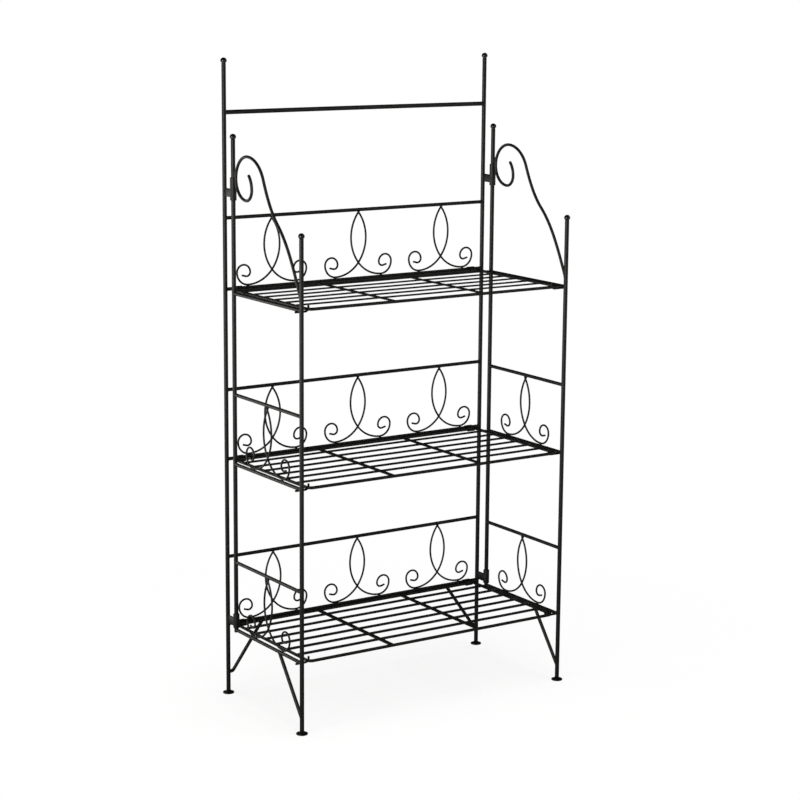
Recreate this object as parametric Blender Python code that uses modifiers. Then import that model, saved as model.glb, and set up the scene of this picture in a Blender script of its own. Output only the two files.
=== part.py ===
"""Folding three-tier plant stand of black coated steel tube, rod and wire.

A flat back frame carries two side frames on hinge sleeves, so that each side swings about its rear post.
Three slatted shelves hinge on the lower rails of the back frame and rest in hooks on the side frames.
Metres, +Z up, +X right, +Y to the back, origin on the floor under the middle of the stand.
"""

import math

import bmesh
import bpy
from mathutils import Vector

# Overall sizes
POST_SPACING = 0.642
HINGE_OFFSET = 0.036
SIDE_DEPTH = 0.266
BACK_HEIGHT = 1.330
REAR_POST_HEIGHT = 1.1805
FRONT_POST_HEIGHT = 1.0085
TOP_RAIL_DROP = 0.109

# Tiers
TIERS = ("bottom", "middle", "top")
FIRST_SHELF_HEIGHT = 0.150
TIER_PITCH = 0.355
GALLERY_HEIGHT = 0.146
BACK_RAIL_RISE = 0.002
SIDE_RAIL_DROP = 0.002

# Stock
POST_DIAMETER = 0.009
POST_WALL = 0.001
RAIL_DIAMETER = 0.0075
TOP_RAIL_DIAMETER = 0.009
BRACE_DIAMETER = 0.0075
SHELF_ROD_DIAMETER = 0.0065
SLAT_WIDTH = 0.012
SLAT_THICKNESS = 0.002
HOOK_DIAMETER = 0.0045
SCROLL_WIRE_DIAMETER = 0.0041
S_SCROLL_DIAMETER = 0.0062

# Fits
GAP = 0.0003
TURNING_CLEARANCE = 0.0004
SPIGOT_CLEARANCE = 0.0003

# Finials and feet
BALL_RADIUS = 0.0065
COLLAR_HEIGHT = 0.0015
SPIGOT_LENGTH = 0.012
FOOT_RADIUS = 0.012
FOOT_RIM = 0.0022
FOOT_HEIGHT = 0.007
FOOT_COLLAR_WALL = 0.0015

# Side frame hinges
SLEEVE_WALL = 0.0018
UPPER_SLEEVE_DROP = 0.1335
UPPER_SLEEVE_LENGTH = 0.046
UPPER_PLATE_HEIGHT = 0.017
UPPER_PLATE_RISE = 0.0055
LOWER_SLEEVE_LENGTH = 0.030
LOWER_PLATE_HEIGHT = 0.018
LOWER_PLATE_RISE = 0.0015
SLEEVE_END_CLEARANCE = 0.001
HINGE_PLATE_THICKNESS = 0.003

# Shelves
SHELF_SIDE_INSET = 0.017
SHELF_AXIS_OFFSET = 0.0105
SHELF_CORNER_RADIUS = 0.010
SLATS = 6
CROSSBARS = 2
SLAT_BITE = 0.001
SLAT_OVERHANG = 0.0012
FRAME_SINK = 0.0006
CROSSBAR_LAP = 0.0004
CROSSBAR_BITE = 0.0006
ROD_BITE = 0.0011
STRAP_WALL = 0.0014
STRAP_LENGTH = 0.017
STRAP_SIDE_CLEARANCE = 0.001

# Shelf hooks
HOOK_SETBACK = 0.015
HOOK_STUB = 0.006
HOOK_CRADLE = 0.0075
HOOK_SEAT_GAP = 0.0004
HOOK_SIDE_GAP = 0.002
HOOK_TIP_RISE = 0.006

# Scroll ornament: a narrow pointed loop whose two wires cross and curl up on the lower rail
SCROLL_BOW = 0.0177
SCROLL_SWEEP_RADIUS = 0.072
SCROLL_CURL = ((0.026, 90), (0.0155, 180), (0.0086, 105))
SCROLL_TAIL = 0.009
SCROLL_LAP = 0.0012
BACK_SCROLLS = 3

# S-scroll: a curl against the rear post and a wavy run down to the front post
S_CURL_DROP = 0.0419
S_CURL_STANDOFF = 0.0114
S_CURL = ((0.040, 41), (0.0225, 90), (0.041, 90), (0.0468, 90), (0.068, 66))
S_CURL_TAIL = 0.004
S_RUN_KNOT = (0.385, 0.374)
S_RUN_KNOT_HEADING = -41
S_RUN_END_HEADING = -64
S_LANDING_RISE = 0.012
S_TAB_HEIGHT = 0.014
S_TAB_THICKNESS = 0.004

# Braces
BACK_BRACE_FOOT = 0.047
BACK_BRACE_STUB = 0.006
BACK_BRACE_REACH = 0.086
SIDE_BRACE_FOOT = 0.033
SIDE_BRACE_SETBACK = 0.088

# Fineness of the round forms
POST_SIDES = 12
SLEEVE_SIDES = 16
TURNED_SIDES = 12
ROD_SIDES = 8
WIRE_SIDES = 6
SADDLE_SIDES = 12
CURL_STEP = 24
S_CURL_STEP = 18
S_RUN_STEPS = 5

# Places worked out from the sizes above
POST_RADIUS = POST_DIAMETER / 2
RAIL_RADIUS = RAIL_DIAMETER / 2
SHELF_ROD_RADIUS = SHELF_ROD_DIAMETER / 2
HOOK_RADIUS = HOOK_DIAMETER / 2
WIRE_RADIUS = SCROLL_WIRE_DIAMETER / 2
S_RADIUS = S_SCROLL_DIAMETER / 2
POST_X = POST_SPACING / 2
BACK_Y = (HINGE_OFFSET + SIDE_DEPTH) / 2
REAR_Y = BACK_Y - HINGE_OFFSET
FRONT_Y = REAR_Y - SIDE_DEPTH
SHELF_AXIS_Y = BACK_Y - SHELF_AXIS_OFFSET
SHELF_DEPTH = SHELF_AXIS_Y - FRONT_Y
SHELF_HALF = POST_X - SHELF_SIDE_INSET
SHELF_HEIGHTS = {tier: FIRST_SHELF_HEIGHT + TIER_PITCH * k for k, tier in enumerate(TIERS)}
SIDES = {"left": -1, "right": 1}
REAR_POST_FOOT = FIRST_SHELF_HEIGHT - SIDE_RAIL_DROP - RAIL_RADIUS - SLEEVE_END_CLEARANCE
TUBE_BELOW_TOP = 2 * BALL_RADIUS - COLLAR_HEIGHT
TOP_RAIL_HEIGHT = BACK_HEIGHT - TOP_RAIL_DROP
UPPER_SLEEVE_FOOT = REAR_POST_HEIGHT - UPPER_SLEEVE_DROP
S_CURL_TOP = REAR_POST_HEIGHT - S_CURL_DROP


def clear_scene():
    for obj in list(bpy.data.objects):
        bpy.data.objects.remove(obj, do_unlink=True)


def new_collection(name):
    collection = bpy.data.collections.new(name)
    bpy.context.scene.collection.children.link(collection)
    return collection


def finish(name, colour, roughness, metallic):
    material = bpy.data.materials.new(name)
    material.use_nodes = True
    shader = material.node_tree.nodes["Principled BSDF"]
    shader.inputs["Base Color"].default_value = (*colour, 1.0)
    shader.inputs["Roughness"].default_value = roughness
    shader.inputs["Metallic"].default_value = metallic
    return material


def axis_empty(name, place):
    """An empty on a joint's axis, for the pieces that turn about it."""
    empty = bpy.data.objects.new(name, None)
    empty.location = place
    parts.objects.link(empty)
    return empty


def put(name, data, material, parent, place=(0, 0, 0), turn=0.0):
    """Adds a named piece at a world place, turned about +Z, under its parent empty."""
    piece = bpy.data.objects.new(name, data)
    piece.parent = parent
    piece.location = Vector(place) - parent.location
    piece.rotation_euler.z = turn
    data.materials.clear()
    data.materials.append(material)
    parts.objects.link(piece)
    return piece


# Rods and wires

def rod_curve(points, diameter, sides=ROD_SIDES):
    """A rod with this even number of sides, along straight steps between the points."""
    curve = bpy.data.curves.new("rod", "CURVE")
    curve.dimensions = "3D"
    curve.bevel_depth = diameter / 2
    curve.bevel_resolution = sides // 2 - 2
    curve.use_fill_caps = True
    spline = curve.splines.new("POLY")
    spline.points.add(len(points) - 1)
    for knot, point in zip(spline.points, points):
        knot.co = (*point, 1.0)
    return curve


def outline_curve(outlines, thickness):
    """A flat plate in the XY plane, its first outline the edge and the others holes."""
    curve = bpy.data.curves.new("plate", "CURVE")
    curve.dimensions = "2D"
    curve.fill_mode = "BOTH"
    curve.extrude = thickness / 2
    for outline in outlines:
        spline = curve.splines.new("POLY")
        spline.points.add(len(outline) - 1)
        spline.use_cyclic_u = True
        for knot, point in zip(spline.points, outline):
            knot.co = (*point, 0.0, 1.0)
    return curve


def solid(data):
    """A closed mesh of a curve, its caps welded."""
    work = bpy.data.objects.new("work", data)
    workshop.objects.link(work)
    graph = bpy.context.evaluated_depsgraph_get()
    mesh = bpy.data.meshes.new_from_object(work.evaluated_get(graph))
    bpy.data.objects.remove(work)
    shape = bmesh.new()
    shape.from_mesh(mesh)
    bmesh.ops.remove_doubles(shape, verts=shape.verts, dist=1e-6)
    shape.to_mesh(mesh)
    shape.free()
    return mesh


def combine(base, tools, operation):
    """The base mesh after each tool mesh is joined to it or cut from it."""
    target = bpy.data.objects.new("work", base)
    workshop.objects.link(target)
    helpers = []
    for tool in tools:
        helper = bpy.data.objects.new("tool", tool)
        workshop.objects.link(helper)
        helpers.append(helper)
        step = target.modifiers.new("step", "BOOLEAN")
        step.operation = operation
        step.object = helper
    graph = bpy.context.evaluated_depsgraph_get()
    mesh = bpy.data.meshes.new_from_object(target.evaluated_get(graph))
    for helper in (target, *helpers):
        bpy.data.objects.remove(helper)
    mesh.shade_smooth()
    mesh.set_sharp_from_angle(angle=math.radians(40))
    return mesh


def moved(mesh, rows):
    """The mesh with its points taken through the rows of a 3 by 4 transform."""
    for vertex in mesh.vertices:
        vertex.co = Vector(row[0] * vertex.co.x + row[1] * vertex.co.y + row[2] * vertex.co.z + row[3] for row in rows)
    return mesh


def circle(centre, radius, sides):
    angles = [2 * math.pi * k / sides for k in range(sides)]
    return [(centre[0] + radius * math.cos(a), centre[1] + radius * math.sin(a)) for a in angles]


def arc_chain(start, heading, bends, step_angle):
    """Points along arcs that follow on from each other, each given as a radius and a turn in degrees."""
    points = [start]
    for radius, turn in bends:
        steps = max(2, math.ceil(abs(turn) / step_angle))
        half = turn / steps / 2
        chord = 2 * radius * math.sin(math.radians(abs(half)))
        for _ in range(steps):
            heading += half
            x, z = points[-1]
            points.append((x + chord * math.cos(math.radians(heading)), z + chord * math.sin(math.radians(heading))))
            heading += half
    return points, heading


def hermite(start, start_heading, end, end_heading, steps):
    """Points after the start on a smooth cubic that leaves and arrives at the two headings."""
    reach = math.dist(start, end)
    leave = [reach * f(math.radians(start_heading)) for f in (math.cos, math.sin)]
    arrive = [reach * f(math.radians(end_heading)) for f in (math.cos, math.sin)]
    points = []
    for k in range(1, steps + 1):
        t = k / steps
        a, b, c, d = 2*t**3 - 3*t**2 + 1, t**3 - 2*t**2 + t, 3*t**2 - 2*t**3, t**3 - t**2
        points.append(tuple(a*start[i] + b*leave[i] + c*end[i] + d*arrive[i] for i in (0, 1)))
    return points


def put_turned(name, profile, sides, material, parent, place, ring=False):
    """Adds a piece turned about its Z axis from points (radius, height) that run down its outer side."""
    mesh = bpy.data.meshes.new("turned")
    edges = [(k, k + 1) for k in range(len(profile) - 1)]
    if ring:
        edges.append((len(profile) - 1, 0))
    mesh.from_pydata([(radius, 0, height) for radius, height in profile], edges, [])
    piece = put(name, mesh, material, parent, place)
    screw = piece.modifiers.new("turn", "SCREW")
    screw.steps = screw.render_steps = sides
    screw.use_merge_vertices = True
    screw.merge_threshold = 1e-5
    screw.use_smooth_shade = True
    return piece


# Posts, finials and feet

def post(name, parent, x, y, foot, top):
    """An open steel tube standing on its axis."""
    bore = POST_RADIUS - POST_WALL
    profile = [(POST_RADIUS, top), (POST_RADIUS, foot), (bore, foot), (bore, top)]
    put_turned(name, profile, POST_SIDES, coat, parent, (x, y, 0), ring=True)


def finial(name, parent, x, y, top):
    """A ball on a short collar, with a spigot that plugs the tube."""
    spigot = POST_RADIUS - POST_WALL - SPIGOT_CLEARANCE
    seat = GAP
    collar_top = seat + COLLAR_HEIGHT
    centre = TUBE_BELOW_TOP - BALL_RADIUS
    lowest = math.degrees(math.asin((collar_top - centre) / BALL_RADIUS))
    angles = [90 - k * (90 - lowest) / 6 for k in range(7)]
    ball = [(BALL_RADIUS * math.cos(math.radians(a)), centre + BALL_RADIUS * math.sin(math.radians(a))) for a in angles]
    ball[0] = (0, centre + BALL_RADIUS)
    stem = [(POST_RADIUS, collar_top), (POST_RADIUS, seat), (spigot, seat), (spigot, -SPIGOT_LENGTH), (0, -SPIGOT_LENGTH)]
    put_turned(name, ball + stem, TURNED_SIDES, plastic, parent, (x, y, top - TUBE_BELOW_TOP))


def foot(name, parent, x, y):
    """A round glide with a low cone up to the tube and a spigot inside it."""
    spigot = POST_RADIUS - POST_WALL - SPIGOT_CLEARANCE
    seat = FOOT_HEIGHT - GAP
    collar = POST_RADIUS + FOOT_COLLAR_WALL
    profile = [
        (0, seat + SPIGOT_LENGTH),
        (spigot, seat + SPIGOT_LENGTH),
        (spigot, seat),
        (POST_RADIUS, seat),
        (collar, (seat + FOOT_RIM) / 2),
        (FOOT_RADIUS, FOOT_RIM),
        (FOOT_RADIUS, 0),
        (0, 0),
    ]
    put_turned(name, profile, TURNED_SIDES, plastic, parent, (x, y, 0))


# Back frame

def cross_rail(name, height, diameter):
    reach = POST_X - POST_RADIUS - GAP
    put(name, rod_curve([(-reach, 0, 0), (reach, 0, 0)], diameter), coat, back, (0, BACK_Y, height))


def strap_mesh(x):
    """A sheet strap closed round the lower rail and the shelf's rear rod, with a bore for the rod to turn in."""
    bore = SHELF_ROD_RADIUS + TURNING_CLEARANCE
    rim = bore + STRAP_WALL
    rod_centre = (-SHELF_AXIS_OFFSET, -BACK_RAIL_RISE)
    slope = math.atan2(BACK_RAIL_RISE, SHELF_AXIS_OFFSET)
    arc = [math.pi * k / 8 for k in range(9)]
    rail_end = [(rim * math.cos(slope - math.pi / 2 + a), rim * math.sin(slope - math.pi / 2 + a)) for a in arc]
    rod_end = [
        (rod_centre[0] + rim * math.cos(slope + math.pi / 2 + a), rod_centre[1] + rim * math.sin(slope + math.pi / 2 + a))
        for a in arc
    ]
    plate = solid(outline_curve([rail_end + rod_end, circle(rod_centre, bore, SLEEVE_SIDES)], STRAP_LENGTH))
    return moved(plate, [(0, 0, 1, x), (1, 0, 0, 0), (0, 1, 0, 0)])


def lower_rail_mesh():
    """The lower back rail with a strap near each end for the shelf to hinge in."""
    reach = POST_X - POST_RADIUS - GAP
    strap_x = SHELF_HALF - SHELF_ROD_RADIUS - STRAP_SIDE_CLEARANCE - STRAP_LENGTH / 2
    bar = solid(rod_curve([(-reach, 0, 0), (reach, 0, 0)], RAIL_DIAMETER))
    return combine(bar, [strap_mesh(-strap_x), strap_mesh(strap_x)], "UNION")


def scroll_mesh():
    """Two bent wires that leave the upper rail together, cross, and curl up where they meet the lower rail."""
    clear = GALLERY_HEIGHT - RAIL_DIAMETER - 2 * GAP
    fall = clear - 2 * WIRE_RADIUS
    loop = fall
    for _ in range(30):
        spread = 2 * SCROLL_BOW / loop
        loop = fall - SCROLL_SWEEP_RADIUS * (1 - 2 * spread / (1 + spread**2))
    half_turn = math.degrees(2 * math.atan(spread))
    bow_radius = loop / 2 / math.sin(math.radians(half_turn))
    bends = ((bow_radius, 2 * half_turn), (SCROLL_SWEEP_RADIUS, 90 - half_turn), *SCROLL_CURL)
    top = clear / 2 - WIRE_RADIUS
    path, heading = arc_chain((0, top), -90 - half_turn, bends, CURL_STEP)
    x, z = path[-1]
    tail = math.radians(heading)
    path.append((x + SCROLL_TAIL * math.cos(tail), z + SCROLL_TAIL * math.sin(tail)))
    wires = []
    for side in SIDES.values():
        points = [(side * px, side * SCROLL_LAP, pz) for px, pz in path]
        wires.append(solid(rod_curve(points, SCROLL_WIRE_DIAMETER, WIRE_SIDES)))
    return combine(wires[0], wires[1:], "UNION")


def scroll_places(low, high, count):
    """Middles of equal bays between two posts, one for each ornament."""
    clear = high - low - 2 * POST_RADIUS
    return [low + POST_RADIUS + clear * (k + 0.5) / count for k in range(count)]


def back_brace(name, side):
    """A stub out of the post, then a slope up to the underside of the bottom rail."""
    rail = FIRST_SHELF_HEIGHT + BACK_RAIL_RISE
    outer = POST_X - POST_RADIUS - GAP
    knee = POST_X - POST_RADIUS - BACK_BRACE_STUB
    top = POST_X - BACK_BRACE_REACH
    points = [(side * outer, 0, BACK_BRACE_FOOT), (side * knee, 0, BACK_BRACE_FOOT), (side * top, 0, rail)]
    bar = solid(rod_curve(points, BRACE_DIAMETER))
    span = 2 * BRACE_DIAMETER
    seat = [(side * top - span, 0, rail), (side * top + span, 0, rail)]
    saddle = solid(rod_curve(seat, RAIL_DIAMETER + 2 * GAP, SADDLE_SIDES))
    put(name, combine(bar, [saddle], "DIFFERENCE"), coat, back, (0, BACK_Y, 0))


def hinge(name, side, sleeve_foot, sleeve_length, plate_foot, plate_height):
    """A plate welded to the back post, carrying a sleeve that the side frame's rear post turns in."""
    bore = POST_RADIUS + TURNING_CLEARANCE
    rim = bore + SLEEVE_WALL
    sleeve = solid(outline_curve([circle((0, 0), rim, SLEEVE_SIDES), circle((0, 0), bore, SLEEVE_SIDES)], sleeve_length))
    moved(sleeve, [(1, 0, 0, 0), (0, 1, 0, 0), (0, 0, 1, sleeve_foot + sleeve_length / 2)])
    near = bore + SLEEVE_WALL / 2
    far = HINGE_OFFSET - POST_RADIUS - GAP
    half = HINGE_PLATE_THICKNESS / 2
    edge = [(-half, near), (half, near), (half, far), (-half, far)]
    plate = solid(outline_curve([edge], plate_height))
    moved(plate, [(1, 0, 0, 0), (0, 1, 0, 0), (0, 0, 1, plate_foot + plate_height / 2)])
    put(name, combine(sleeve, [plate], "UNION"), coat, back, (side * POST_X, REAR_Y, 0))


def build_back():
    for word, side in SIDES.items():
        post(f"back_post_{word}", back, side * POST_X, BACK_Y, FOOT_HEIGHT, BACK_HEIGHT - TUBE_BELOW_TOP)
        finial(f"back_finial_{word}", back, side * POST_X, BACK_Y, BACK_HEIGHT)
        foot(f"back_foot_{word}", back, side * POST_X, BACK_Y)
        back_brace(f"back_brace_{word}", side)
        lower_foot = FIRST_SHELF_HEIGHT - SIDE_RAIL_DROP + RAIL_RADIUS + SLEEVE_END_CLEARANCE
        plate_foot = lower_foot + LOWER_PLATE_RISE
        hinge(f"lower_hinge_{word}", side, lower_foot, LOWER_SLEEVE_LENGTH, plate_foot, LOWER_PLATE_HEIGHT)
        plate_foot = UPPER_SLEEVE_FOOT + UPPER_PLATE_RISE
        hinge(f"upper_hinge_{word}", side, UPPER_SLEEVE_FOOT, UPPER_SLEEVE_LENGTH, plate_foot, UPPER_PLATE_HEIGHT)
    cross_rail("top_rail", TOP_RAIL_HEIGHT, TOP_RAIL_DIAMETER)
    lower_rail = lower_rail_mesh()
    for tier, height in SHELF_HEIGHTS.items():
        low = height + BACK_RAIL_RISE
        put(f"back_lower_rail_{tier}", lower_rail, coat, back, (0, BACK_Y, low))
        cross_rail(f"back_upper_rail_{tier}", low + GALLERY_HEIGHT, RAIL_DIAMETER)
        for k, x in enumerate(scroll_places(-POST_X, POST_X, BACK_SCROLLS), 1):
            put(f"back_scroll_{tier}_{k}", scroll, coat, back, (x, BACK_Y, low + GALLERY_HEIGHT / 2))


# Side frames

def side_rail_ends():
    return REAR_Y - POST_RADIUS - GAP, FRONT_Y + POST_RADIUS + GAP


def hook_rail_mesh(side):
    """The side frame's lower rail, with the hook welded under it that the shelf's side bar drops into."""
    rear, front = side_rail_ends()
    bar = solid(rod_curve([(0, rear, 0), (0, front, 0)], RAIL_DIAMETER))
    bar_height = SIDE_RAIL_DROP - FRAME_SINK
    run = bar_height - SHELF_ROD_RADIUS - HOOK_SEAT_GAP - HOOK_RADIUS
    reach = SHELF_SIDE_INSET + SHELF_ROD_RADIUS + HOOK_SIDE_GAP + HOOK_RADIUS
    bend, _ = arc_chain((reach - HOOK_CRADLE, run), 0, ((HOOK_CRADLE, 90),), CURL_STEP)
    path = [(-HOOK_STUB, run), *bend, (reach, bar_height + HOOK_TIP_RISE)]
    points = [(-side * inboard, FRONT_Y + HOOK_SETBACK, height) for inboard, height in path]
    hook = solid(rod_curve(points, HOOK_DIAMETER, WIRE_SIDES))
    return combine(bar, [hook], "UNION")


def s_scroll_mesh():
    """A rod curled in on itself beside the rear post, then waved down to the front post."""
    bends = [(radius, -turn) for radius, turn in S_CURL]
    turn_in = -S_CURL[-1][1]
    heading = turn_in + sum(turn for _, turn in S_CURL)
    lead = math.radians(heading)
    path = [(0, 0), (S_CURL_TAIL * math.cos(lead), S_CURL_TAIL * math.sin(lead))]
    curl, _ = arc_chain(path[-1], heading, bends, S_CURL_STEP)
    path += curl[1:]
    nearest = min(x for x, _ in path)
    highest = max(z for _, z in path)
    path = [(x - nearest + S_CURL_STANDOFF, z - highest + S_CURL_TOP) for x, z in path]
    leave = path[-1]
    side_rail = SHELF_HEIGHTS["top"] - SIDE_RAIL_DROP
    land = (SIDE_DEPTH, side_rail + RAIL_RADIUS + S_LANDING_RISE)
    knot = tuple(leave[i] + (land[i] - leave[i]) * S_RUN_KNOT[i] for i in (0, 1))
    path += hermite(leave, turn_in, knot, S_RUN_KNOT_HEADING, S_RUN_STEPS)
    path += hermite(knot, S_RUN_KNOT_HEADING, land, S_RUN_END_HEADING, S_RUN_STEPS)
    bar = solid(rod_curve([(0, -forward, height) for forward, height in path], S_SCROLL_DIAMETER))
    ends = [(0, -SIDE_DEPTH, side_rail), (0, -SIDE_DEPTH, land[1] + SIDE_DEPTH)]
    saddle = solid(rod_curve(ends, POST_DIAMETER + 2 * GAP, SADDLE_SIDES))
    tab_foot = UPPER_SLEEVE_FOOT + UPPER_SLEEVE_LENGTH + SLEEVE_END_CLEARANCE
    half = S_TAB_THICKNESS / 2
    tab_edge = [(-half, -POST_RADIUS - GAP), (half, -POST_RADIUS - GAP)]
    tab_edge += [(half, -S_CURL_STANDOFF - S_RADIUS), (-half, -S_CURL_STANDOFF - S_RADIUS)]
    tab = solid(outline_curve([tab_edge[::-1]], S_TAB_HEIGHT))
    moved(tab, [(1, 0, 0, 0), (0, 1, 0, 0), (0, 0, 1, tab_foot + S_TAB_HEIGHT / 2)])
    return combine(combine(bar, [tab], "UNION"), [saddle], "DIFFERENCE")


def side_brace_mesh():
    """A straight rod from under the bottom rail down to the front post, notched to sit on both."""
    rail = FIRST_SHELF_HEIGHT - SIDE_RAIL_DROP
    high = (0, FRONT_Y + SIDE_BRACE_SETBACK, rail)
    low = (0, FRONT_Y, SIDE_BRACE_FOOT)
    bar = solid(rod_curve([high, low], BRACE_DIAMETER))
    span = 2 * BRACE_DIAMETER
    under_rail = [(0, high[1] - span, rail), (0, high[1] + span, rail)]
    on_post = [(0, FRONT_Y, SIDE_BRACE_FOOT - span), (0, FRONT_Y, SIDE_BRACE_FOOT + span)]
    saddles = [
        solid(rod_curve(under_rail, RAIL_DIAMETER + 2 * GAP, SADDLE_SIDES)),
        solid(rod_curve(on_post, POST_DIAMETER + 2 * GAP, SADDLE_SIDES)),
    ]
    return combine(bar, saddles, "DIFFERENCE")


def build_sides():
    s_scroll = s_scroll_mesh()
    brace = side_brace_mesh()
    rear, front = side_rail_ends()
    for word, side in SIDES.items():
        frame = axis_empty(f"{word}_side_axis", (side * POST_X, REAR_Y, 0))
        x = side * POST_X
        post(f"rear_post_{word}", frame, x, REAR_Y, REAR_POST_FOOT, REAR_POST_HEIGHT - TUBE_BELOW_TOP)
        finial(f"rear_finial_{word}", frame, x, REAR_Y, REAR_POST_HEIGHT)
        post(f"front_post_{word}", frame, x, FRONT_Y, FOOT_HEIGHT, FRONT_POST_HEIGHT - TUBE_BELOW_TOP)
        finial(f"front_finial_{word}", frame, x, FRONT_Y, FRONT_POST_HEIGHT)
        foot(f"front_foot_{word}", frame, x, FRONT_Y)
        hook_rail = hook_rail_mesh(side)
        for tier, height in SHELF_HEIGHTS.items():
            low = height - SIDE_RAIL_DROP
            put(f"side_lower_rail_{tier}_{word}", hook_rail, coat, frame, (x, 0, low))
            if tier == "top":
                continue
            bar = rod_curve([(0, rear, 0), (0, front, 0)], RAIL_DIAMETER)
            put(f"side_upper_rail_{tier}_{word}", bar, coat, frame, (x, 0, low + GALLERY_HEIGHT))
            place = (x, (FRONT_Y + REAR_Y) / 2, low + GALLERY_HEIGHT / 2)
            put(f"side_scroll_{tier}_{word}", scroll, coat, frame, place, math.pi / 2)
        put(f"s_scroll_{word}", s_scroll, coat, frame, (x, REAR_Y, 0))
        put(f"side_brace_{word}", brace, coat, frame, (x, 0, 0))


# Shelves

def strip_mesh(low, high, foot):
    """A flat bar between two corners of its outline, standing on the height of its foot."""
    outline = [low, (high[0], low[1]), high, (low[0], high[1])]
    strip = solid(outline_curve([outline], SLAT_THICKNESS))
    return moved(strip, [(1, 0, 0, 0), (0, 1, 0, 0), (0, 0, 1, foot + SLAT_THICKNESS / 2)])


def shelf_mesh():
    """A rear rod on the hinge axis, a bent rod round the other three sides, and flat crossbars under flat slats."""
    front = -SHELF_DEPTH
    rear_rod = solid(rod_curve([(-SHELF_HALF - SHELF_ROD_RADIUS, 0, 0), (SHELF_HALF + SHELF_ROD_RADIUS, 0, 0)],
                               SHELF_ROD_DIAMETER))
    corner = SHELF_CORNER_RADIUS
    bend, _ = arc_chain((SHELF_HALF, front + corner), -90, ((corner, -90),), CURL_STEP)
    half = [(SHELF_HALF, ROD_BITE), *bend]
    outline = half + [(-x, y) for x, y in reversed(half)]
    pieces = [solid(rod_curve([(x, y, -FRAME_SINK) for x, y in outline], SHELF_ROD_DIAMETER))]
    slat_foot = SHELF_ROD_RADIUS - FRAME_SINK - SLAT_BITE
    crossbar_foot = slat_foot + CROSSBAR_LAP - SLAT_THICKNESS
    half_width = SLAT_WIDTH / 2
    for k in range(1, CROSSBARS + 1):
        x = -POST_X + POST_SPACING * k / (CROSSBARS + 1)
        pieces.append(strip_mesh((x - half_width, front - CROSSBAR_BITE), (x + half_width, CROSSBAR_BITE), crossbar_foot))
    reach = SHELF_HALF + SLAT_OVERHANG
    for k in range(1, SLATS + 1):
        y = front * k / (SLATS + 1)
        pieces.append(strip_mesh((-reach, y - half_width), (reach, y + half_width), slat_foot))
    return combine(rear_rod, pieces, "UNION")


def build_shelves():
    shelf = shelf_mesh()
    for tier, height in SHELF_HEIGHTS.items():
        place = (0, SHELF_AXIS_Y, height)
        put(f"shelf_{tier}", shelf, coat, axis_empty(f"shelf_axis_{tier}", place), place)


clear_scene()
parts = new_collection("plant_stand")
workshop = new_collection("workshop")
coat = finish("black_powder_coat", (0.018, 0.018, 0.018), 0.42, 0.0)
plastic = finish("black_plastic", (0.014, 0.014, 0.015), 0.38, 0.0)
back = axis_empty("back_frame", (0, 0, 0))
scroll = scroll_mesh()
build_back()
build_sides()
build_shelves()
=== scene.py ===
# %% [markdown]
# # A folding plant stand of black coated steel
# The stand is welded from tube, rod and wire and then coated satin black. A flat back frame carries two
# side frames on hinge sleeves, and three slatted shelves hinge on the back frame and drop into hooks on
# the sides. The frame that is loaded here already has every part in its place, in metres. This lesson
# lays a smooth skin over each part: a shape is a grid of points worked out with numpy, and the grid's
# cells become the faces of a mesh.

import bpy
import numpy as np
from mathutils import Matrix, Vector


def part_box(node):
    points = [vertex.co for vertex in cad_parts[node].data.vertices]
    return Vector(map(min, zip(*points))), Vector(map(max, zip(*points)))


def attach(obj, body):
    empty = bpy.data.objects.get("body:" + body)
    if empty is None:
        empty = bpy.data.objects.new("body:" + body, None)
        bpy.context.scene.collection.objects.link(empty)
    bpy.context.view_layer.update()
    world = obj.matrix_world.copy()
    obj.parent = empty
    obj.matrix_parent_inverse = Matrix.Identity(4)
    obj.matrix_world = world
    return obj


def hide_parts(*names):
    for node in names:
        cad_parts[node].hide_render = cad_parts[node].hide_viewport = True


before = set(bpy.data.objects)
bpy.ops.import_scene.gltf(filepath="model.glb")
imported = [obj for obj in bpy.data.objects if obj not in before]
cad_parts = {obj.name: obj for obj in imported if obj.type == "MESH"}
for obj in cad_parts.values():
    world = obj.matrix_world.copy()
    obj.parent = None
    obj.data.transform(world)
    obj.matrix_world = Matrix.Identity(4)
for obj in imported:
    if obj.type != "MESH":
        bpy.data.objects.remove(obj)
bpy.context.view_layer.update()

# %% [markdown]
# ## Camera
# The stand is seen from its front left and a little from above, through a long lens that keeps the posts
# nearly parallel. A Track To constraint could aim it at an empty. Here its three axes come from an
# azimuth, an elevation and a roll, which give the same view each time and can be read as numbers.

# %% Camera
FOCAL_LENGTH, SENSOR_WIDTH = 98.1, 36.0
AZIMUTH, ELEVATION, ROLL = -33.5412, 11.2144, 0.4414
CAMERA_PLACE = (-2.4576, -3.7201, 1.5083)


def add_object(name, data):
    """A new object in the scene that shows this data."""
    made = bpy.data.objects.new(name, data)
    bpy.context.scene.collection.objects.link(made)
    return made


def set_stance(made, axes, place):
    """Puts an object in its place, with three axes as the columns of its matrix."""
    stance = np.eye(4)
    stance[:3] = np.column_stack([axes, place])
    made.matrix_world = Matrix(stance.tolist())


def camera_axes(azimuth, elevation, roll):
    """Columns right, up and back. Back is (sin az cos el, -cos az cos el, sin el), right is level and at
    a right angle to it, up is back x right, and the roll turns right and up about back."""
    az, el, tilt = np.radians([azimuth, elevation, roll])
    back = np.array([np.sin(az) * np.cos(el), -np.cos(az) * np.cos(el), np.sin(el)])
    right = np.array([np.cos(az), np.sin(az), 0.0])
    up = np.cross(back, right)
    rolled_right = np.cos(tilt) * right + np.sin(tilt) * up
    rolled_up = np.cos(tilt) * up - np.sin(tilt) * right
    return np.column_stack([rolled_right, rolled_up, back])


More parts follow.
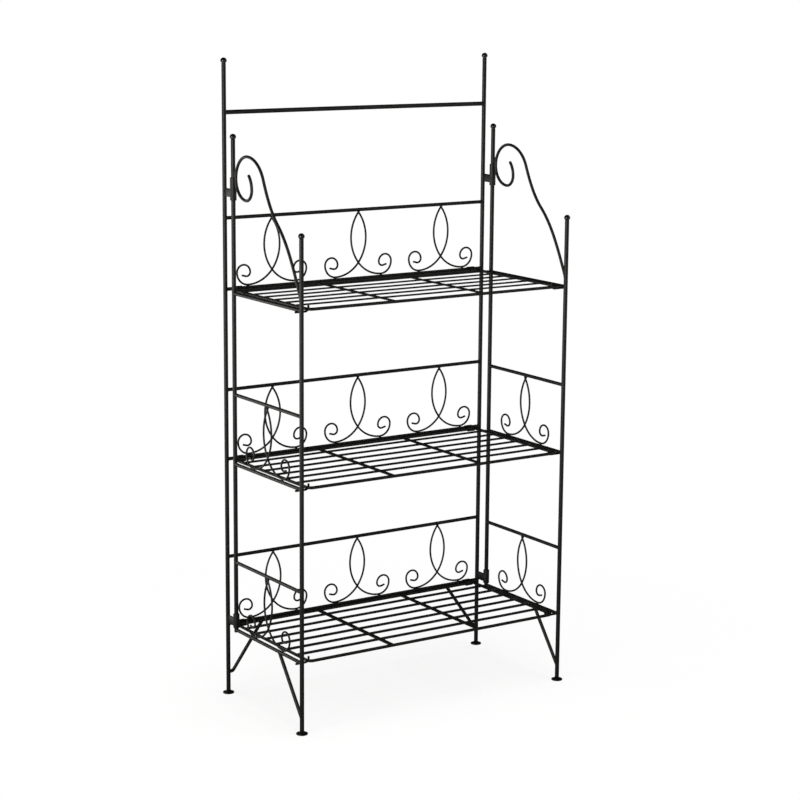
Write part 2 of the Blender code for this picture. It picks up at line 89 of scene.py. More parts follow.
lens = bpy.data.cameras.new("studio_camera")
lens.lens, lens.sensor_width = FOCAL_LENGTH, SENSOR_WIDTH
camera = add_object("studio_camera", lens)
set_stance(camera, camera_axes(AZIMUTH, ELEVATION, ROLL), CAMERA_PLACE)
bpy.context.scene.camera = camera
print("camera:", FOCAL_LENGTH, "mm at", np.round(CAMERA_PLACE, 3).tolist())

# %% [markdown]
# ## Satin black coat
# The steel is dipped or sprayed with powder and baked. Up close the baked film has the fine dimples
# called orange peel, its shade drifts a little from place to place, and it is thinner and smoother where
# it is rubbed or drawn over an edge. A flat black would hide all that, so noise in object space drives
# the colour, the roughness and a bump, and an attribute named rub, which the meshes carry, says where
# the film is worn.

# %% Node helpers and the coat
NOISE_MIDDLE = (0.3, 0.7)


def add_node(tree, kind, **inputs):
    """A node of this kind with values on its own sockets; underscores in a name stand for spaces."""
    made = tree.nodes.new(kind)
    for name, value in inputs.items():
        made.inputs[name.replace("_", " ")].default_value = value
    return made


def mapped(tree, source, start, stop, low, high):
    """A value that runs from low to high while its source runs from start to stop, and is held outside."""
    made = add_node(tree, "ShaderNodeMapRange", From_Min=start, From_Max=stop, To_Min=low, To_Max=high)
    tree.links.new(source, made.inputs["Value"])
    return made.outputs["Result"]


def noise(tree, scale, detail):
    """Noise read in object space, so its scale is in patches a metre."""
    place = add_node(tree, "ShaderNodeTexCoord")
    made = add_node(tree, "ShaderNodeTexNoise", Scale=scale, Detail=detail)
    tree.links.new(place.outputs["Object"], made.inputs["Vector"])
    return made.outputs["Fac"]


def shades(tree, source, dark, light):
    """A colour ramp between two shades over the middle of a noise."""
    ramp = tree.nodes.new("ShaderNodeValToRGB")
    for stop, place, colour in zip(ramp.color_ramp.elements, NOISE_MIDDLE, (dark, light)):
        stop.position, stop.color = place, (*colour, 1.0)
    tree.links.new(source, ramp.inputs["Fac"])
    return ramp.outputs["Color"]


def sum_or_product(tree, operation, first, second):
    """Two values added or multiplied and held between 0 and 1."""
    made = tree.nodes.new("ShaderNodeMath")
    made.operation, made.use_clamp = operation, True
    tree.links.new(first, made.inputs[0])
    tree.links.new(second, made.inputs[1])
    return made.outputs[0]


def dimpled_finish(name, dark, light, bare, rough, smooth, level, patch, dimple, depth):
    """A black film. Its shade comes from wide patches, and its roughness and bump from fine dimples, both
    counted to the metre. Where rub times a noise says so, it is worn to a bare, smooth shade."""
    finish = bpy.data.materials.new(name)
    finish.use_nodes = True
    tree = finish.node_tree
    link = tree.links.new
    shader = tree.nodes["Principled BSDF"]
    shader.inputs["Specular IOR Level"].default_value = level
    fine = noise(tree, dimple, 2.0)
    breakup = mapped(tree, noise(tree, patch * 9, 3.0), *NOISE_MIDDLE, 0.2, 1.0)
    mark = tree.nodes.new("ShaderNodeAttribute")
    mark.attribute_name = "rub"
    wear = sum_or_product(tree, "MULTIPLY", mark.outputs["Fac"], breakup)
    colour = tree.nodes.new("ShaderNodeMix")
    colour.data_type = "RGBA"
    colour.inputs["B"].default_value = (*bare, 1.0)
    link(wear, colour.inputs["Factor"])
    link(shades(tree, noise(tree, patch, 4.0), dark, light), colour.inputs["A"])
    link(colour.outputs["Result"], shader.inputs["Base Color"])
    gloss = add_node(tree, "ShaderNodeMapRange", From_Min=0.0, From_Max=1.0, To_Max=smooth)
    link(mapped(tree, fine, *NOISE_MIDDLE, *rough), gloss.inputs["To Min"])
    link(wear, gloss.inputs["Value"])
    link(gloss.outputs["Result"], shader.inputs["Roughness"])
    bump = add_node(tree, "ShaderNodeBump", Strength=0.5, Distance=depth)
    link(fine, bump.inputs["Height"])
    link(bump.outputs["Normal"], shader.inputs["Normal"])
    return finish


coat = dimpled_finish("satin_black_coat", dark=(0.0018, 0.0017, 0.0016), light=(0.0044, 0.0042, 0.0039),
                      bare=(0.011, 0.0105, 0.010), rough=(0.40, 0.54), smooth=0.32, level=0.35,
                      patch=45.0, dimple=1100.0, depth=0.00004)
print("coat nodes:", len(coat.node_tree.nodes))

# %% [markdown]
# ## Black moulded plastic
# The ball caps and the foot glides are moulded. Their skin is finer and glossier than the baked coat and
# a little bluer. The same recipe gives it, with smaller dimples and a lower roughness.

# %% Plastic
plastic = dimpled_finish("black_moulded_plastic", dark=(0.0016, 0.0016, 0.0018),
                         light=(0.0038, 0.0038, 0.0042), bare=(0.010, 0.010, 0.011), rough=(0.14, 0.22),
                         smooth=0.12, level=0.50, patch=70.0, dimple=2600.0, depth=0.00003)
print("plastic nodes:", len(plastic.node_tree.nodes))

# %% [markdown]
# ## From a grid to a mesh
# Every part of the stand is a rod, a turned form, a flat strip or a weld, and each of these is a grid of
# points that closes round on itself. Blender could sweep a curve with a bevel, but a grid gives clean
# rows, closed ends and a place to store the wear. One function turns a grid into faces, and another joins
# such skins into a piece that rides on a body.

# %% Skins and pieces
def skin(grid, ends=None, rub=0.0):
    """Each cell of the grid is a quad from this row to the next and this column to the next, and the
    columns close on themselves. With ends, the first and last rows fan to one point each; without, the
    last row joins the first."""
    rows, columns = grid.shape[:2]
    index = np.arange(rows * columns).reshape(rows, columns)
    beside = np.roll(index, -1, axis=1)
    quads = np.stack([index, beside, np.roll(beside, -1, axis=0), np.roll(index, -1, axis=0)], axis=-1)
    points = grid.reshape(-1, 3)
    wear = np.broadcast_to(rub, (rows, columns)).ravel()
    if ends is None:
        return points, quads.reshape(-1, 4), np.empty((0, 3), int), wear
    first, last = np.full(columns, len(points)), np.full(columns, len(points) + 1)
    fans = np.vstack([np.column_stack([first, beside[0], index[0]]),
                      np.column_stack([last, index[-1], beside[-1]])])
    return np.vstack([points, ends]), quads[:-1].reshape(-1, 4), fans, np.r_[wear, wear[0], wear[-1]]


def make_piece(name, skins, finish, slot, body, *nodes):
    """Joins skins into one mesh by moving each skin's face numbers on by the points before it."""
    starts = np.cumsum([0] + [len(points) for points, *_ in skins])
    faces = [face for (_, quads, fans, _), start in zip(skins, starts)
             for face in (quads + start).tolist() + (fans + start).tolist()]
    mesh = bpy.data.meshes.new(name)
    mesh.from_pydata(np.vstack([points for points, *_ in skins]).tolist(), [], faces)
    wear = np.concatenate([wear for *_, wear in skins]).astype(np.float32)
    mesh.attributes.new("rub", "FLOAT", "POINT").data.foreach_set("value", wear)
    mesh.polygons.foreach_set("use_smooth", np.ones(len(faces), bool))
    mesh.materials.append(finish)
    piece = add_object(name, mesh)
    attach(piece, body)
    if nodes:
        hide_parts(*nodes)


def coated(name, skins, body, *nodes):
    """A piece in the satin black coat."""
    make_piece(name, skins, coat, "black_powder_coat", body, *nodes)


def node_box(name):
    """A node's lowest corner, highest corner and middle."""
    low, high = (np.array(corner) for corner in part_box(name))
    return low, high, (low + high) / 2


def half_size(name):
    """Half of a node's size along X, Y and Z."""
    low, high, _ = node_box(name)
    return (high - low) / 2


print("box of a back post:", np.round(node_box("back_post_left")[:2], 4).tolist())

# %% [markdown]
# ## Posts
# Two tall tubes stand at the back, and each side frame has a rear post in front of them and a shorter
# front post. They are thin steel tube, open inside, with the cut edges just broken. A tube is a
# ring-shaped profile turned about a vertical line: up the outside, over the rounded edge, down the bore
# and back.

# %% Turned forms and the posts
SIDES = {"left": -1, "right": 1}
POST_WALL = 0.001
POST_RADIUS = half_size("back_post_left")[0]


def eased(points, cut, steps=4):
    """A broken line with rounded corners. Each inner corner c becomes the parabola
    c + (1-t)^2 b + t^2 f, where b and f reach from the corner towards its neighbours by the cut, or by
    under half the edge where that is shorter."""
    points = np.asarray(points, float)
    corner = points[1:-1, None]
    towards = np.stack([points[:-2], points[2:]], axis=1) - corner
    length = np.linalg.norm(towards, axis=2, keepdims=True)
    back, on = np.moveaxis(towards / length * np.minimum(cut, 0.48 * length), 1, 0)
    t = np.linspace(0, 1, steps + 1)[:, None]
    curve = corner + (1 - t) ** 2 * back[:, None] + t ** 2 * on[:, None]
    return np.vstack([points[:1], curve.reshape(-1, points.shape[1]), points[-1:]])


def eased_loop(points, cut, steps=4):
    """The same for a closed outline, whose every corner is rounded."""
    return eased(np.vstack([points[-1:], points, points[:1]]), cut, steps)[1:-1]


def points_at(x, y, z):
    """Points from their coordinates, of which any may be one number for all."""
    return np.stack(np.broadcast_arrays(x, y, z), axis=-1)


def turned(profile, place, facets=32, closed=False, rub=0.0, seam=0.0):
    """A profile of radius r and height h turned about a vertical line: place + (r cos a, r sin a, h). A
    seam lifts the radius in two narrow lines on opposite sides, as the halves of a mould leave it:
    r + seam exp(-(sin a / 0.06)^2)."""
    radius, height = np.asarray(profile, float).T[:, :, None]
    angle = np.linspace(0, 2 * np.pi, facets, endpoint=False)
    radius = radius + seam * np.exp(-(np.sin(angle) / 0.06) ** 2) * (radius > 1e-6)
    grid = points_at(radius * np.cos(angle), radius * np.sin(angle), height) + place
    rub = np.broadcast_to(np.reshape(rub, (-1, 1)), grid.shape[:2])
    return skin(grid, rub=rub) if closed else skin(grid[1:-1], grid[[0, -1], 0], rub[1:-1])


def tube_post(node):
    """A tube from the node's foot to its top: outside up, bore down, each corner eased by a third of the
    wall."""
    low, high, middle = node_box(node)
    bore = POST_RADIUS - POST_WALL
    section = [(POST_RADIUS, low[2]), (POST_RADIUS, high[2]), (bore, high[2]), (bore, low[2])]
    return turned(eased_loop(section, POST_WALL / 3, 3), (middle[0], middle[1], 0.0), 28, closed=True)


POSTS = [(word, where, "back_frame" if where == "back" else f"{word}_side")
         for word in SIDES for where in ("back", "rear", "front")]
for word, where, body in POSTS:
    node = f"{where}_post_{word}"
    coated(f"{word}_{where}_post", [tube_post(node)], body, node)
print(f"posts: {len(POSTS)} tubes of {2000 * POST_RADIUS:.1f} mm")

# %% [markdown]
# ## Ball caps
# Each post ends in a moulded ball on a narrow collar, plugged into the tube by a spigot. A sphere from
# the Add menu would lack the collar and the small cove under the ball, so the whole cap is one turned
# profile, with the faint seam that the two halves of its mould leave.

# %% Ball caps
BALL_RADIUS, COLLAR, COVE, LIP = 0.0065, 0.0015, 0.0004, 0.0003
GAP, SPIGOT_DEPTH = 0.0003, 0.012
SPIGOT_RADIUS = POST_RADIUS - POST_WALL - GAP


def ball_cap(node):
    """From the spigot's foot up: spigot, seat on the tube, collar, cove, and the ball r = R cos b,
    h = c + R sin b."""
    _, high, middle = node_box(node)
    ball_middle = high[2] - BALL_RADIUS
    seat = high[2] - 2 * BALL_RADIUS + COLLAR + GAP
    collar_top = seat + COLLAR
    b = np.linspace(np.arcsin((collar_top - ball_middle + COVE) / BALL_RADIUS), np.pi / 2, 15)
    ball = np.column_stack([BALL_RADIUS * np.cos(b), ball_middle + BALL_RADIUS * np.sin(b)])
    foot = seat - SPIGOT_DEPTH
    stem = [(0, foot), (SPIGOT_RADIUS, foot), (SPIGOT_RADIUS, seat), (POST_RADIUS, seat),
            (POST_RADIUS, collar_top - 0.0001), (POST_RADIUS + LIP, collar_top), tuple(ball[0])]
    profile = np.vstack([eased(stem, 0.0003, 3)[:-1], ball])
    profile[-1, 0] = 0.0
    return turned(profile, (middle[0], middle[1], 0.0), 48, seam=0.00005)


for word, where, body in POSTS:
    node = f"{where}_finial_{word}"
    make_piece(f"{word}_{where}_ball_cap", [ball_cap(node)], plastic, "black_plastic", body, node)
print("ball caps:", len(POSTS), "each", 2000 * BALL_RADIUS, "mm across")

# %% [markdown]
# ## Foot glides
# The back and front posts stand on flared glides. Each spreads from a short collar round the tube to a
# wide, thin rim with a soft edge, and its underside is slightly hollow so that it stands on a ring. That
# is again one turned profile.

# %% Foot glides
def foot_glide(node):
    """From under the middle out: hollow underside, standing ring, rim, flare up to the collar, spigot in
    the tube."""
    _, high, middle = node_box(node)
    rim, top = half_size(node)[0], high[2]
    seat = top - SPIGOT_DEPTH
    outline = [(0, 0.0005), (0.55 * rim, 0.0004), (0.78 * rim, 0.0), (0.95 * rim, 0.0), (rim, 0.0006),
               (rim, 0.0024), (0.94 * rim, 0.0031), (0.66 * rim, 0.0041), (POST_RADIUS + 0.0012, 0.0053),
               (POST_RADIUS + 0.0002, seat), (SPIGOT_RADIUS, seat), (SPIGOT_RADIUS, top), (0, top)]
    return turned(eased(outline, 0.0012, 4), (middle[0], middle[1], 0.0), 48, seam=0.00003)


for word, where, body in POSTS:
    if where != "rear":
        node = f"{where}_foot_{word}"
        make_piece(f"{word}_{where}_foot_glide", [foot_glide(node)], plastic, "black_plastic", body, node)
print(f"foot glides: {2000 * half_size(node)[0]:.1f} mm across")

# %% [markdown]
# ## Rods and rails
# Rails run across between the posts. Each is a plain rod welded in at both ends, and the heat of welding
# pulls a long rod very slightly out of true. A round section carried along a path gives every rod,
# straight or bent. A cut end has a flat face and a broken edge, so the section shrinks over the last rows
# and then closes to a point in the middle.

# %% Rods, and the rails across the back
END_RUB = (0.5, 0.9, 0.5)


def rod(path, radius, flat, facets=16, rounding=0.35, top_rub=0.0):
    """A round section along a path in one plane, whose normal is flat:
    path + r (cos a flat + sin a tangent x flat). At each end r falls by e (1 - cos b) and the row stands
    back by e (1 - sin b), with e a share of the radius."""
    radius = np.broadcast_to(radius, len(path))
    along = np.r_[0, np.cumsum(np.linalg.norm(np.diff(path, axis=0), axis=1))]
    tangent = np.gradient(path, along, axis=0)
    tangent /= np.linalg.norm(tangent, axis=1, keepdims=True)
    b = np.radians([90, 60, 30, 0])
    start, end = rounding * radius[0], rounding * radius[-1]
    back, fall = 1 - np.sin(b)[:, None], 1 - np.cos(b)
    middle = np.vstack([path[0] + start * back * tangent[0], path[1:-1],
                        path[-1] - end * back[::-1] * tangent[-1]])
    reach = np.r_[radius[0] - start * fall, radius[1:-1], radius[-1] - end * fall[::-1]]
    axis = np.vstack([np.repeat(tangent[:1], 4, axis=0), tangent[1:-1], np.repeat(tangent[-1:], 4, axis=0)])
    a = np.linspace(0, 2 * np.pi, facets, endpoint=False)[:, None]
    around = np.cos(a) * flat + np.sin(a) * np.cross(axis, flat)[:, None]
    edge = np.zeros((len(reach), 1))
    edge[:3, 0] = edge[-3:, 0] = END_RUB
    rub = edge + top_rub * np.clip(around[..., 2], 0, 1) ** 3
    return skin(middle[:, None] + reach[:, None, None] * around, path[[0, -1]], rub)


def bar(start, end, radius, flat, pull=0.0):
    """A straight rod whose middle is pulled aside, at a right angle to flat, by half a sine wave."""
    start, end = np.array([start, end], float)
    t = np.linspace(0, 1, 13)[:, None]
    aside = np.cross((end - start) / np.linalg.norm(end - start), flat)
    return rod(start + (end - start) * t + pull * np.sin(np.pi * t) * aside, radius, flat)


X, Y, Z = np.eye(3)
TIERS = ("bottom", "middle", "top")
POST_X, BACK_Y, _ = node_box("back_post_right")[2]
REAR_Y = node_box("rear_post_right")[2][1]
FRONT_Y = node_box("front_post_right")[2][1]
RAIL_RADIUS = half_size("back_upper_rail_top")[2]
TOP_RAIL_RADIUS = half_size("top_rail")[2]
RAIL_DIG = 0.003


def cross_rail(height, radius, pull):
    """A rod from post to post across the back, dug into both."""
    reach = POST_X - RAIL_DIG
    return bar((-reach, BACK_Y, height), (reach, BACK_Y, height), radius, Y, pull)


top_rail_z = node_box("top_rail")[2][2]
coated("top_crossbar", [cross_rail(top_rail_z, TOP_RAIL_RADIUS, 0.0004)], "back_frame", "top_rail")
upper_z = {tier: node_box(f"back_upper_rail_{tier}")[2][2] for tier in TIERS}
for tier, pull in zip(TIERS, (-0.0003, 0.0004, -0.0002)):
    rail = cross_rail(upper_z[tier], RAIL_RADIUS, pull)
    coated(f"{tier}_back_upper_rail", [rail], "back_frame", f"back_upper_rail_{tier}")
print("rails across the back:", 1 + len(upper_z), "of", round(2000 * RAIL_RADIUS, 2), "mm rod")

# %% [markdown]
# ## Lower back rails and their straps
# Each shelf turns in two sheet straps that are bent round the lower rail and the shelf's rear rod
# together. A strap is a strip of steel, so its section is a rounded rectangle, and its path is a loop of
# two half circles joined by straight runs. Carrying the section round the loop leaves the true hollow
# that the rod turns in.

# %% Straps on the lower rails
FIRST_SHELF, TIER_PITCH, GALLERY = 0.150, 0.355, 0.146
SHELF_ROD_RADIUS, TURNING_ROOM = 0.00325, 0.0004
STRAP_WALL, STRAP_LENGTH, STRAP_SIDE_ROOM = 0.0014, 0.017, 0.001
STRAP_BORE = SHELF_ROD_RADIUS + TURNING_ROOM
SHELF_HALF, SHELF_AXIS_Y = node_box("shelf_bottom")[1][:2] - SHELF_ROD_RADIUS
SHELF_Z = {tier: FIRST_SHELF + TIER_PITCH * k for k, tier in enumerate(TIERS)}
LOWER_Z = {tier: upper_z[tier] - GALLERY for tier in TIERS}
STRAP_X = SHELF_HALF - SHELF_ROD_RADIUS - STRAP_SIDE_ROOM - STRAP_LENGTH / 2


def strap(x, rail_z, rod_z):
    """A strip carried round a loop. The loop is a half circle about the rail and one about the rod, and a
    point is loop + u n - v X, with (u, v) on the strip's rounded section and n the loop's normal."""
    slope = np.arctan2(rail_z - rod_z, BACK_Y - SHELF_AXIS_Y)
    a = slope - np.pi / 2 + np.linspace(0, np.pi, 15)
    a = np.r_[a, a + np.pi][:, None]
    normal = np.column_stack([0 * a, np.cos(a), np.sin(a)])
    middle = np.repeat([[x, BACK_Y, rail_z], [x, SHELF_AXIS_Y, rod_z]], 15, axis=0)
    half, wide = STRAP_WALL / 2, STRAP_LENGTH / 2
    u, v = eased_loop([(-half, -wide), (half, -wide), (half, wide), (-half, wide)], 0.0005, 3).T
    loop = middle + normal * (STRAP_BORE + half)
    grid = loop[:, None] + u[:, None] * normal[:, None] - v[:, None] * X
    return skin(grid, rub=0.5 * (np.abs(v) > wide - 0.0004))


for tier in TIERS:
    parts = [cross_rail(LOWER_Z[tier], RAIL_RADIUS, 0.0)]
    parts += [strap(side * STRAP_X, LOWER_Z[tier], SHELF_Z[tier]) for side in SIDES.values()]
    coated(f"{tier}_back_lower_rail", parts, "back_frame", f"back_lower_rail_{tier}")
print(f"straps at x = +-{STRAP_X:.4f} m, rail at y {BACK_Y:.4f} m, rod at y {SHELF_AXIS_Y:.4f} m")

# %% [markdown]
# ## Wire scrolls
# Between the two rails of each gallery stand ornaments of thin wire. Two wires leave the upper rail
# together, bow apart into a narrow pointed loop, cross, sweep out along the lower rail and curl up into
# small spirals. A smith bends such a wire round pegs, so its path is a chain of circular arcs, each
# starting in the direction in which the last one left. The loop's height and its slope depend on each
# other, so repeated guesses settle them.

# %% Arcs and the scroll wire's path
def arc_chain(start, heading, bends, step=4.0):
    """Arcs that follow on from each other, each a radius and a turn in degrees. A point on one that
    starts at p with heading h0 is p + s r (sin h - sin h0, cos h0 - cos h), where h runs over the turn and
    s is the turn's sign."""
    runs = [np.array([start], float)]
    for radius, turn in bends:
        h = np.radians(heading + np.linspace(0, turn, max(3, int(abs(turn) / step) + 2)))
        shift = np.column_stack([np.sin(h) - np.sin(h[0]), np.cos(h[0]) - np.cos(h)])
        runs.append(runs[-1][-1] + np.sign(turn) * radius * shift[1:])
        heading += turn
    return np.vstack(runs), heading


def ahead(point, heading, distance):
    """The point this far on in a heading given in degrees."""
    return point + distance * np.array([np.cos(np.radians(heading)), np.sin(np.radians(heading))])


WIRE_RADIUS, WIRE_LAP, WIRE_STUB, WIRE_TAIL = 0.00205, 0.0012, 0.0025, 0.009
BOW, SWEEP = 0.0177, 0.072
SCROLL_CURL = ((0.026, 90), (0.0155, 180), (0.0086, 105))

clear = GALLERY - 2 * RAIL_RADIUS - 2 * GAP
fall = clear - 2 * WIRE_RADIUS
loop_height = fall
for _ in range(30):
    bow_slope = 2 * BOW / loop_height
    loop_height = fall - SWEEP * (1 - 2 * bow_slope / (1 + bow_slope**2))
half_turn = np.degrees(2 * np.arctan(bow_slope))
bow_radius = loop_height / 2 / np.sin(np.radians(half_turn))
wire_bends = ((bow_radius, 2 * half_turn), (SWEEP, 90 - half_turn), *SCROLL_CURL)
wire_top = np.array([0.0, clear / 2 - WIRE_RADIUS])
wire_heading = -90 - half_turn
wire_path, tail_heading = arc_chain(wire_top, wire_heading, wire_bends)
wire_path = np.vstack([ahead(wire_top, wire_heading, -WIRE_STUB), wire_path,
                       ahead(wire_path[-1], tail_heading, WIRE_TAIL)])
touch_x = abs(wire_path[np.argmin(wire_path[:, 1]), 0])
print(f"wire: loop {1000 * loop_height:.1f} mm, touches the rail at {1000 * touch_x:.1f} mm")

# %% [markdown]
# The two wires of an ornament are mirror images that lie side by side, one a little in front of the
# other, so that they can cross. The same path serves all of them: it is laid out along the back for the
# nine ornaments there, and along each side frame for the two there.

# %% Scrolls
def scroll(place, across, through):
    """Two wires: place + side x across + side lap through + z up, for the path's points (x, z) and side
    -1 and 1."""
    x, z = wire_path.T[:, :, None]
    return [rod(place + side * x * across + side * WIRE_LAP * through + z * Z, WIRE_RADIUS, through, 12)
            for side in SIDES.values()]


RAIL_DROP = 0.002
bay = 2 * (POST_X - POST_RADIUS) / 3
side_middle_y = (FRONT_Y + REAR_Y) / 2
side_lower_z = {tier: SHELF_Z[tier] - RAIL_DROP for tier in TIERS}
for tier in TIERS:
    for k, x in enumerate((-bay, 0.0, bay), 1):
        place = np.array([x, BACK_Y, LOWER_Z[tier] + GALLERY / 2])
        coated(f"{tier}_back_scroll_{k}", scroll(place, X, Y), "back_frame", f"back_scroll_{tier}_{k}")
for word, side in SIDES.items():
    for tier in TIERS[:2]:
        place = np.array([side * POST_X, side_middle_y, side_lower_z[tier] + GALLERY / 2])
        wires = scroll(place, Y, -X)
        coated(f"{word}_{tier}_side_scroll", wires, f"{word}_side", f"side_scroll_{tier}_{word}")
print("scrolls: 9 across the back, 4 on the sides, bays of", round(bay, 4), "m")

# %% [markdown]
# ## Side rails and shelf hooks
# The rails of a side frame run from its rear post to its front post. Under each lower rail, just behind
# the front post, a short rod is welded on that turns up into a hook, and the shelf's side bar drops into
# it. The hook's path is a straight run and a quarter circle, so it comes from the same arc chain, and its
# cradle shows rubbed coat.

# %% Side rails and hooks
HOOK_RADIUS, HOOK_STUB, HOOK_CRADLE = 0.00225, 0.006, 0.0075
HOOK_SEAT_ROOM, HOOK_SIDE_ROOM, HOOK_TIP = 0.0004, 0.002, 0.006
HOOK_Y = FRONT_Y + 0.015
FRAME_SINK = 0.0006
SHELF_INSET = POST_X - SHELF_HALF
BAR_RISE = RAIL_DROP - FRAME_SINK


def side_rail(side, height, pull):
    """A rod from the rear post to the front post of a side frame, dug into both."""
    x = side * POST_X
    return bar((x, REAR_Y - RAIL_DIG, height), (x, FRONT_Y + RAIL_DIG, height), RAIL_RADIUS, X, pull)


def shelf_hook(side, height):
    """A path in the upright plane across the stand: out from under the rail, a quarter circle up, and a
    short tip."""
    run = BAR_RISE - SHELF_ROD_RADIUS - HOOK_SEAT_ROOM - HOOK_RADIUS
    reach = SHELF_INSET + SHELF_ROD_RADIUS + HOOK_SIDE_ROOM + HOOK_RADIUS
    bend, _ = arc_chain((reach - HOOK_CRADLE, run), 0, ((HOOK_CRADLE, 90),), 9.0)
    inboard, rise = np.vstack([[(-HOOK_STUB, run)], bend, [(reach, BAR_RISE + HOOK_TIP)]]).T
    path = points_at(side * (POST_X - inboard), HOOK_Y, height + rise)
    return rod(path, HOOK_RADIUS, Y, 14, 0.5, top_rub=0.5)


for word, side in SIDES.items():
    for tier in TIERS:
        low = side_lower_z[tier]
        parts = [side_rail(side, low, 0.0), shelf_hook(side, low)]
        coated(f"{word}_{tier}_side_lower_rail", parts, f"{word}_side", f"side_lower_rail_{tier}_{word}")
        if tier != "top":
            node = f"side_upper_rail_{tier}_{word}"
            rail = side_rail(side, low + GALLERY, 0.0002)
            coated(f"{word}_{tier}_side_upper_rail", [rail], f"{word}_side", node)
print("side rails: 10, hooks: 6 at y", round(HOOK_Y, 4))

# %% [markdown]
# ## S-scrolls
# The top tier has no gallery at its sides. A thicker rod curls in on itself beside the rear post, then
# waves down to the front post. The curl is a chain of arcs that widen as they unwind. The wave below it
# has no peg to follow, so two cubic curves carry it, each leaving and arriving in a given direction.

# %% S-scrolls
S_RADIUS, S_STANDOFF, S_TAIL, S_LANDING = 0.0031, 0.0114, 0.004, 0.012
S_CURL = ((0.040, 41), (0.0225, 90), (0.041, 90), (0.0468, 90), (0.068, 66))
S_KNOT, S_KNOT_HEADING, S_LAND_HEADING = (0.385, 0.374), -41, -64
s_top = node_box("s_scroll_left")[1][2] - S_RADIUS
s_land = np.array([REAR_Y - FRONT_Y, side_lower_z["top"] + RAIL_RADIUS + S_LANDING])


def wave(start, start_heading, end, end_heading, steps=28):
    """A cubic from start to end whose end tangents have the given headings and the length of the straight
    line between: (2t3-3t2+1) p + (t3-2t2+t) m + (3t2-2t3) q + (t3-t2) n."""
    reach = np.linalg.norm(end - start)
    leave, arrive = (ahead(np.zeros(2), heading, reach) for heading in (start_heading, end_heading))
    t = np.linspace(0, 1, steps + 1)[1:, None]
    return ((2 * t**3 - 3 * t**2 + 1) * start + (t**3 - 2 * t**2 + t) * leave
            + (3 * t**2 - 2 * t**3) * end + (t**3 - t**2) * arrive)


turn_in = -S_CURL[-1][1]
s_heading = turn_in + sum(turn for _, turn in S_CURL)
s_bends = [(radius, -turn) for radius, turn in S_CURL]
curl, _ = arc_chain(ahead(np.zeros(2), s_heading, S_TAIL), s_heading, s_bends, 5.0)
curl = np.vstack([[(0, 0)], curl])
curl += [S_STANDOFF - curl[:, 0].min(), s_top - curl[:, 1].max()]
knot = curl[-1] + (s_land - curl[-1]) * S_KNOT
s_path = np.vstack([curl, wave(curl[-1], turn_in, knot, S_KNOT_HEADING),
                    wave(knot, S_KNOT_HEADING, s_land, S_LAND_HEADING)])
print(f"S-scroll: {len(s_path)} points from {s_top:.3f} m down to {s_land[1]:.3f} m")

# %% [markdown]
# A small flat tab ties the curl to the rear post just above the hinge sleeve. It and the hinge plates are
# short pieces of flat bar with broken edges: a rounded rectangle carried upwards, and drawn in a little
# at its two end faces.

# %% Flat bar, and the S-scroll pieces
def flat_stock(path, axes, half, edge, steps):
    """A rounded rectangle carried along a path: path + u axes[0] + v axes[1]. At both ends it is drawn in
    by e (1 - cos b) while its row stands back by e (1 - sin b)."""
    wide, deep = half
    along = (path[-1] - path[0]) / np.linalg.norm(path[-1] - path[0])
    b = np.radians([90, 45, 0])
    back, draw = edge * (1 - np.sin(b))[:, None] * along, edge * (1 - np.cos(b))
    rows = np.vstack([path[0] + back, path[1:-1], path[-1] - back[::-1]])
    draw = np.r_[draw, np.zeros(len(path) - 2), draw[::-1]][:, None]
    u, v = eased_loop([(-wide, -deep), (wide, -deep), (wide, deep), (-wide, deep)], 2 * edge, steps).T
    u, v = u * (1 - draw / wide), v * (1 - draw / deep)
    return rows[:, None] + u[..., None] * axes[0] + v[..., None] * axes[1], u, v


def flat_bar(middle, half):
    """An upright piece of flat stock about its middle, with rubbed ends."""
    path = np.add([-half[2] * Z, half[2] * Z], middle)
    grid, _, _ = flat_stock(path, (X, Y), half[:2], 0.0005, 3)
    return skin(grid, path, np.reshape((0.2, 0.5, 0.1, 0.1, 0.5, 0.2), (-1, 1)))


TAB_HALF_WIDTH, TAB_HALF_HEIGHT, SLEEVE_END_ROOM = 0.002, 0.007, 0.001
TAB_Z = node_box("upper_hinge_left")[1][2] + SLEEVE_END_ROOM + TAB_HALF_HEIGHT
tab_near, tab_far = POST_RADIUS - 0.0006, S_STANDOFF + S_RADIUS * 0.4
tab_half = (TAB_HALF_WIDTH, (tab_far - tab_near) / 2, TAB_HALF_HEIGHT)
forward, height = s_path.T
for word, side in SIDES.items():
    x = side * POST_X
    curve = rod(points_at(x, REAR_Y - forward, height), S_RADIUS, X, 18)
    tab = flat_bar((x, REAR_Y - (tab_near + tab_far) / 2, TAB_Z), tab_half)
    coated(f"{word}_s_scroll", [curve, tab], f"{word}_side", f"s_scroll_{word}")
print("tabs at z", round(TAB_Z, 4))

# %% [markdown]
# ## Hinge brackets
# Each side frame turns in two sleeves, and each sleeve stands off the back post on a welded plate. The
# sleeve is a short, thick tube with rounded rims in which the rear post runs with a little play, so its
# bore stays open. The plate has two runs of weld at each end, and their ripples come from a rod whose
# radius rises and falls.

# %% Hinge brackets
SLEEVE_BORE, SLEEVE_WALL, PLATE_HALF = POST_RADIUS + TURNING_ROOM, 0.0018, 0.0015
BEAD_INSET, PLATE_BITE = 0.0006, 0.0004


